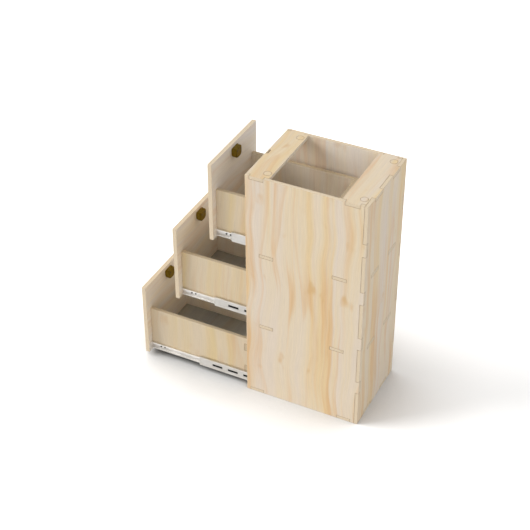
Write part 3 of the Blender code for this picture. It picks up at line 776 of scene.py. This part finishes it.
@dataclass
class PanScrew:
    """A pan-head screw with a cross recess. Only its head shows."""

    radius: float = 0.003
    height: float = 0.0018
    round_share: float = 0.45
    recess_radius: float = 0.0016
    recess_width: float = 0.0006
    recess_depth: float = 0.001
    sides: int = 32
    round_steps: int = 4

    def model(self, name: str) -> Object:
        """Model the head: its underside at the origin, its top towards +Z.

        Args:
            name: What the head is called.

        Returns:
            The head.
        """
        deselect_all()
        bpy.ops.mesh.primitive_cylinder_add(
            vertices=self.sides, radius=self.radius, depth=self.height, location=(0, 0, self.height / 2)
        )
        head = bpy.context.object
        head.name = name
        bpy.ops.object.transform_apply(location=True)
        bpy.ops.object.mode_set(mode="EDIT")
        bpy.ops.mesh.select_mode(type="EDGE")
        bpy.ops.mesh.select_all(action="DESELECT")
        form = bmesh.from_edit_mesh(head.data)
        for edge in form.edges:
            edge.select = all(vert.co.z > self.height / 2 for vert in edge.verts)
        bmesh.update_edit_mesh(head.data)
        bpy.ops.mesh.bevel(offset=self.height * self.round_share, segments=self.round_steps, affect="EDGES")
        bpy.ops.object.mode_set(mode="OBJECT")
        for long_axis in (0, 1):
            deselect_all()
            bpy.ops.mesh.primitive_cube_add(size=1, location=(0, 0, self.height))
            cutter = bpy.context.object
            reach = [self.recess_width, self.recess_width, 2 * self.recess_depth]
            reach[long_axis] = 2 * self.recess_radius
            bpy.ops.transform.resize(value=reach)
            bpy.ops.object.transform_apply(location=True, scale=True)
            choose(head)
            cut = head.modifiers.new("recess", "BOOLEAN")
            cut.operation, cut.object, cut.solver = "DIFFERENCE", cutter, "EXACT"
            bpy.ops.object.modifier_apply(modifier=cut.name)
            bpy.data.objects.remove(cutter)
        smooth(head)
        return head


@dataclass
class BallCage:
    """A strip that keeps the balls between two channels of a slide apart.

    Its places are measured in from the slide's outer face and up from its middle line.
    """

    web: Pair
    flange_height: float
    flange_reach: float
    flange_thickness: float
    ball_radius: float
    ball_place: float
    start: float
    length: float
    ball_pitch: float = 0.009
    ball_sides: int = 12
    ball_rings: int = 8
    trough: Pair | None = None
    trough_half: float = 0.0072
    trough_slope: float = 0.0012

    def section(self) -> list[Pair]:
        """The cage's outline, seen along the slide.

        Returns:
            Points round the outline.
        """
        top = self.flange_height + self.flange_thickness / 2
        under = top - self.flange_thickness
        outer, inner = self.web
        front, back = [(outer, top)], [(self.flange_reach, top), (self.flange_reach, under), (inner, under)]
        if self.trough:
            slope = self.trough_half + self.trough_slope
            front = [(self.trough[0], self.trough_half), (outer, slope)] + front
            back += [(inner, slope), (self.trough[1], self.trough_half)]
        upper = front + back
        return upper + [(inward, -up) for inward, up in reversed(upper)]

    def model(self, name: str, corner: Vector, hand: int) -> Object:
        """Model the strip and its balls.

        Args:
            name: What the cage is called.
            corner: The front end of the slide's middle line, on its outer face.
            hand: Which side of the pod, from HANDS.

        Returns:
            The cage with its balls, not yet dressed.
        """
        outline = self.section()
        deselect_all()
        bpy.ops.mesh.primitive_circle_add(vertices=len(outline), radius=self.length)
        cage = bpy.context.object
        cage.name = name
        bpy.ops.object.mode_set(mode="EDIT")
        form = bmesh.from_edit_mesh(cage.data)
        for vert, (inward, up) in zip(form.verts, outline):
            vert.co = corner + Vector((-hand * inward, self.start, up))
        bmesh.update_edit_mesh(cage.data)
        bpy.ops.mesh.select_all(action="SELECT")
        bpy.ops.mesh.edge_face_add()
        bpy.ops.mesh.extrude_region_move(TRANSFORM_OT_translate={"value": (0, self.length, 0)})
        bpy.ops.mesh.select_all(action="SELECT")
        bpy.ops.mesh.normals_make_consistent(inside=False)
        deselect_all()
        balls = self.balls(corner, hand)
        cage.select_set(True)
        balls.select_set(True)
        bpy.context.view_layer.objects.active = cage
        bpy.ops.object.join()
        deselect_all()
        return cage

    def balls(self, corner: Vector, hand: int) -> Object:
        """Model both rows of balls.

        Args:
            corner: The front end of the slide's middle line, on its outer face.
            hand: Which side of the pod, from HANDS.

        Returns:
            The balls.
        """
        first = corner + Vector((-hand * self.ball_place, self.start + self.ball_pitch, self.flange_height))
        deselect_all()
        bpy.ops.mesh.primitive_uv_sphere_add(
            segments=self.ball_sides, ring_count=self.ball_rings, radius=self.ball_radius, location=first
        )
        balls = bpy.context.object
        bpy.ops.object.transform_apply(location=True)
        bpy.ops.object.shade_smooth()
        count = int(self.length / self.ball_pitch) - 1
        for number, step in ((count, (0, self.ball_pitch, 0)), (2, (0, 0, -2 * self.flange_height))):
            row = balls.modifiers.new("row", "ARRAY")
            row.count = number
            row.use_relative_offset = False
            row.use_constant_offset = True
            row.constant_offset_displace = step
            bpy.ops.object.modifier_apply(modifier=row.name)
        return balls


# The inner cage runs between the drawer channel and the intermediate one, and its trough shows in the windows.
INNER_CAGE = BallCage(
    web=(0.0034, 0.0038), flange_height=0.01465, flange_reach=0.0098, flange_thickness=0.0008,
    ball_radius=0.0019, ball_place=0.0072, start=0.040, length=0.312, trough=(0.0046, 0.0050),
)
# The outer cage runs between the intermediate channel and the cabinet one.
OUTER_CAGE = BallCage(
    web=(0.0014, 0.0018), flange_height=0.0198, flange_reach=0.0096, flange_thickness=0.0005,
    ball_radius=0.0016, ball_place=0.0062, start=0.050, length=0.100,
)


@dataclass
class Slides:
    """The six ball-bearing slides: three channels each, two ball cages, and the screws that hold them.

    The screws' places are counted from each end of the drawer channel. The web's face, where their heads
    sit, is counted in from the slide's outer face.
    """

    screw_insets: tuple[tuple[str, float], ...] = (("fixed", 0.0365), ("adjusting", 0.052))
    web_face: float = 0.0115
    screw: PanScrew = field(default_factory=PanScrew)

    def __post_init__(self) -> None:
        """Make the finishes that the slides share. The drawer channels are brighter, as in the photograph."""
        self.zinc = ZincPlate().material("bright_zinc_plate")
        # Painted light: the drawer channels are brighter, to lift the shade inside their hollow.
        self.brightened_zinc = ZincPlate(light="#ebe8e4", dark="#e0ddd8").material("inner_zinc_plate")
        self.black = BLACK_ACETAL.material("black_acetal")
        self.steel = BALL_STEEL.material("ball_steel")

    def build(self) -> None:
        """Dress the channels and add the cages and the screws."""
        head = self.screw.model("slide_screw")
        dress(head, BLACKENED_STEEL.material("blackened_steel"))
        for bay in BAYS:
            bodies = {
                "cabinet": "carcass",
                "intermediate": f"{bay}_intermediate_slides",
                "drawer": f"{bay}_drawer",
            }
            for hand_name, hand in HANDS.items():
                slide = f"{bay}_{hand_name}"
                for member, body in bodies.items():
                    self.add_channel(f"{slide}_{member}_member", body)
                self.add_cage(INNER_CAGE, slide, "intermediate", bodies["intermediate"], hand)
                self.add_cage(OUTER_CAGE, slide, "cabinet", "carcass", hand)
                self.add_screws(head, slide, bodies["drawer"], hand)
        bpy.data.objects.remove(head)

    def add_channel(self, node: str, body: str) -> None:
        """Dress one channel, its bends smoothed.

        Args:
            node: The CAD node.
            body: The body it moves with.
        """
        piece = refined(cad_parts[node], node + "_channel", 0.0)
        smooth(piece)
        dress(piece, self.brightened_zinc if "_drawer_" in node else self.zinc)
        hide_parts(node)
        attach(piece, body)
        log.info("%s: channel on %s", piece.name, body)

    def front_end(self, slide: str, member: str, hand: int) -> Vector:
        """Find where a channel's middle line starts.

        Args:
            slide: The slide's bay and hand.
            member: The channel.
            hand: Which side of the pod, from HANDS.

        Returns:
            The front end of the middle line, on the slide's outer face.
        """
        low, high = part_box(f"{slide}_{member}_member")
        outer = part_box(f"{slide}_cabinet_member")[1 if hand > 0 else 0]
        return Vector((outer.x, low.y, (low.z + high.z) / 2))

    def add_cage(self, cage: BallCage, slide: str, member: str, body: str, hand: int) -> None:
        """Add one ball cage.

        Args:
            cage: Its sizes.
            slide: The slide's bay and hand.
            member: The channel that it lies in.
            body: The body it moves with.
            hand: Which side of the pod, from HANDS.
        """
        piece = cage.model(f"{slide}_{member}_ball_cage", self.front_end(slide, member, hand), hand)
        piece.data.materials.clear()
        for material in (self.black, self.steel):
            piece.data.materials.append(material)
        # Only the balls are shaded smooth.
        for face in piece.data.polygons:
            face.material_index = 1 if face.use_smooth else 0
        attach(piece, body)
        log.info("%s: ball cage on %s", piece.name, body)

    def add_screws(self, head: Object, slide: str, body: str, hand: int) -> None:
        """Add the screw heads in the drawer channel, in the hole and the slot that each end has.

        Args:
            head: The modelled screw head.
            slide: The slide's bay and hand.
            body: The body they move with.
            hand: Which side of the pod, from HANDS.
        """
        low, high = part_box(f"{slide}_drawer_member")
        middle = self.front_end(slide, "drawer", hand)
        turn = Vector((hand, 0, 0)).to_track_quat("Z", "Y").to_matrix().to_4x4()
        for kind, inset in self.screw_insets:
            for end, y in (("front", low.y + inset), ("rear", high.y - inset)):
                place = Vector((middle.x - hand * self.web_face, y, middle.z))
                piece = copied(head, f"{slide}_{kind}_screw_{end}", Matrix.Translation(place) @ turn)
                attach(piece, body)
                log.info("%s: screw on %s", piece.name, body)


@dataclass
class Locks:
    """The three push-button locks, with the lids of their cases and the screws that hold them.

    A groove runs round each lid, set in from the case's edge. The screws stand to both sides of the middle,
    below the case's top.
    """

    ease: float = 0.0002
    lid_inset: float = 0.0026
    groove_width: float = 0.0006
    groove_depth: float = 0.0006
    groove_wall: float = 0.0001
    screw_spread: float = 0.0105
    screw_drop: float = 0.0095
    screw: PanScrew = field(default_factory=lambda: PanScrew(
        radius=0.0021, height=0.001, recess_radius=0.0012, recess_width=0.0005, recess_depth=0.0007,
    ))

    def cut_lid(self, piece: Object) -> None:
        """Cut the groove round the lid of a lock's case, in the case's rear face.

        Args:
            piece: The case.
        """
        near = 0.0001
        rear = max(vert.co.y for vert in piece.data.vertices)
        choose(piece)
        bpy.ops.object.mode_set(mode="EDIT")
        bpy.ops.mesh.select_mode(type="FACE")
        bpy.ops.mesh.select_all(action="DESELECT")
        form = bmesh.from_edit_mesh(piece.data)
        for face in form.faces:
            face.select = all(vert.co.y > rear - near for vert in face.verts)
        bmesh.update_edit_mesh(piece.data)
        # Each inset starts from the face that the last one left: in to the lid, down, across and up again.
        for width, depth in (
            (self.lid_inset, 0.0),
            (self.groove_wall, -self.groove_depth),
            (self.groove_width, 0.0),
            (self.groove_wall, self.groove_depth),
        ):
            bpy.ops.mesh.inset(thickness=width, depth=depth)
        deselect_all()

    def add_screws(self, head: Object, bay: str) -> None:
        """Put the two screws in the lid of one lock.

        Args:
            head: The modelled screw head.
            bay: The drawer's bay.
        """
        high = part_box(f"{bay}_lock_body")[1]
        turn = Vector((0, 1, 0)).to_track_quat("Z", "Y").to_matrix().to_4x4()
        for hand_name, hand in HANDS.items():
            place = Vector((hand * self.screw_spread, high.y, high.z - self.screw_drop))
            piece = copied(head, f"{bay}_lock_lid_screw_{hand_name}", Matrix.Translation(place) @ turn)
            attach(piece, f"{bay}_drawer")
            log.info("%s: screw on %s_drawer", piece.name, bay)

    def build(self) -> None:
        """Dress the pieces of every lock."""
        brown = BROWN_NYLON.material("brown_nylon")
        light_brown = LIGHT_BROWN_NYLON.material("light_brown_nylon")
        nickel = SATIN_NICKEL.material("satin_nickel")
        finishes = {
            "body": (brown, "lock_case", "drawer"),
            "bolt": (light_brown, "lock_case", "lock_bolt"),
            "collar": (nickel, "lock_metal", "drawer"),
            "knob": (nickel, "lock_metal", "lock_knob"),
        }
        head = self.screw.model("lock_screw")
        dress(head, BLACKENED_STEEL.material("blackened_lid_screw"))
        for bay in BAYS:
            for part, (material, slot, body) in finishes.items():
                node = f"{bay}_lock_{part}"
                piece = refined(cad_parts[node], node + "_shell", self.ease if part == "bolt" else 0.0)
                if part == "body":
                    self.cut_lid(piece)
                smooth(piece)
                dress(piece, material)
                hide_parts(node)
                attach(piece, f"{bay}_{body}")
                log.info("%s: lock piece on %s_%s", piece.name, bay, body)
            self.add_screws(head, bay)
        bpy.data.objects.remove(head)


@dataclass
class Studio:
    """A pale floor, a sky that is bright low down, a soft lamp and the photograph's camera.

    The camera's angles are in degrees. Its azimuth counts from -Y towards +X, and it looks at the target.
    """

    azimuth: float = 116.597
    elevation: float = 36.592
    roll: float = -0.139
    distance: float = 4.5622
    target: tuple[float, float, float] = (0.0, -0.2201, 0.4358)
    focal_length: float = 89.71
    sensor: float = 36.0
    floor_half: float = 30.0
    floor_drop: float = 0.0002
    # The floor for the light it bounces, for the camera, and in metal or glass, and how far its shadow deepens.
    floor_tone: str = "#d8d8d8"
    floor_gain: float = 1.6
    floor_glow: float = 0.4
    contact_reach: float = 0.4
    # The sky's strength at the horizon and overhead, and how fast it falls between them.
    sky_low: float = 1.18
    sky_high: float = 0.46
    sky_fall: float = 2.0
    sun: float = 2.0
    sun_angle: float = 36.0
    sun_from: tuple[float, float, float] = (0.82, -1.95, 1.26)

    def rays(self, tree: NodeTree) -> tuple[NodeSocket, NodeSocket]:
        """Tell rays apart by where they come from.

        Args:
            tree: The node tree.

        Returns:
            One for a ray straight from the camera, and one for a ray by way of metal or glass, else zero.
        """
        path = add_node(tree, "LightPath")
        mirrored = add_node(tree, "Math", {
            0: path.outputs["Is Glossy Ray"], 1: path.outputs["Is Transmission Ray"],
        }, operation="MAXIMUM")
        return path.outputs["Is Camera Ray"], mirrored.outputs[0]

    def add_floor(self) -> None:
        """Lay the floor: grey for the light it bounces, and for the camera white with the pod's shadow.

        The shadow is drawn deeper close to the pod, as in the photograph.
        """
        deselect_all()
        bpy.ops.mesh.primitive_plane_add(size=2 * self.floor_half, location=(0, 0, -self.floor_drop))
        floor = bpy.context.object
        floor.name = "floor"
        seen_tone = (*[self.floor_gain] * 3, 1.0)
        material, tree, shader = new_material("studio_floor")
        tree.nodes.remove(shader)
        direct, mirrored = self.rays(tree)
        contact = add_node(tree, "AmbientOcclusion", {"Color": seen_tone, "Distance": self.contact_reach})
        tone = add_node(tree, "Mix", {
            "Factor": direct, "A": colour(self.floor_tone), "B": contact.outputs["Color"],
        }, data_type="RGBA")
        lit = add_node(tree, "BsdfDiffuse", {"Color": tone.outputs["Result"]})
        glow = add_node(tree, "Math", {0: mirrored, 1: self.floor_glow}, operation="MULTIPLY")
        shine = add_node(tree, "Emission", {"Strength": glow.outputs[0]})
        both = add_node(tree, "AddShader", {0: lit.outputs[0], 1: shine.outputs[0]})
        tree.links.new(both.outputs[0], tree.nodes["Material Output"].inputs["Surface"])
        dress(floor, material)

    def add_light(self) -> None:
        """Set the sky, darker towards the top so that deep hollows stay dark, and the broad soft lamp."""
        world = bpy.data.worlds.new("studio")
        bpy.context.scene.world = world
        world.use_nodes = True
        tree = world.node_tree
        way = add_node(tree, "TexCoord").outputs["Generated"]
        up = add_node(tree, "SeparateXYZ", {0: way}).outputs["Z"]
        low = add_node(tree, "Math", {0: 1.0, 1: up}, operation="SUBTRACT", use_clamp=True)
        fall = add_node(tree, "Math", {0: low.outputs[0], 1: self.sky_fall}, operation="POWER")
        sky = add_node(tree, "MapRange", {
            "Value": fall.outputs[0], "To Min": self.sky_high, "To Max": self.sky_low,
        })
        seen = add_node(tree, "Math", dict(enumerate(self.rays(tree))), operation="MAXIMUM")
        strength = add_node(tree, "Mix", {"Factor": seen.outputs[0], "A": sky.outputs[0], "B": 1.0})
        tree.links.new(strength.outputs["Result"], tree.nodes["Background"].inputs["Strength"])
        tree.nodes["Background"].inputs["Color"].default_value = colour(WHITE)
        data = bpy.data.lights.new("soft_lamp", "SUN")
        data.energy = self.sun
        data.angle = math.radians(self.sun_angle)
        lamp = bpy.data.objects.new("soft_lamp", data)
        lamp.rotation_euler = Vector(self.sun_from).to_track_quat("Z", "Y").to_euler()
        bpy.context.scene.collection.objects.link(lamp)

    def add_camera(self) -> None:
        """Put the camera where the photograph was taken from."""
        turn, lift = math.radians(self.azimuth), math.radians(self.elevation)
        back = Vector((math.sin(turn) * math.cos(lift), -math.cos(turn) * math.cos(lift), math.sin(lift)))
        right = Vector((0, 0, 1)).cross(back).normalized()
        upright = Matrix((right, back.cross(right), back)).transposed()
        data = bpy.data.cameras.new("camera")
        data.lens = self.focal_length
        data.sensor_width = self.sensor
        camera = bpy.data.objects.new("camera", data)
        tilt = Matrix.Rotation(math.radians(self.roll), 3, "Z")
        camera.rotation_euler = (upright @ tilt).to_euler()
        camera.location = Vector(self.target) + back * self.distance
        bpy.context.scene.collection.objects.link(camera)
        bpy.context.scene.camera = camera

    def build(self) -> None:
        """Set the floor, the light, the camera and plain colour output."""
        self.add_floor()
        self.add_light()
        self.add_camera()
        bpy.context.scene.view_settings.view_transform = "Standard"


def main() -> None:
    """Build and dress the pod, and set it in the studio."""
    logging.basicConfig(level=logging.INFO, format="%(message)s")
    PlywoodBoards().build()
    Slides().build()
    Locks().build()
    Studio().build()


if __name__ == "__main__":
    main()
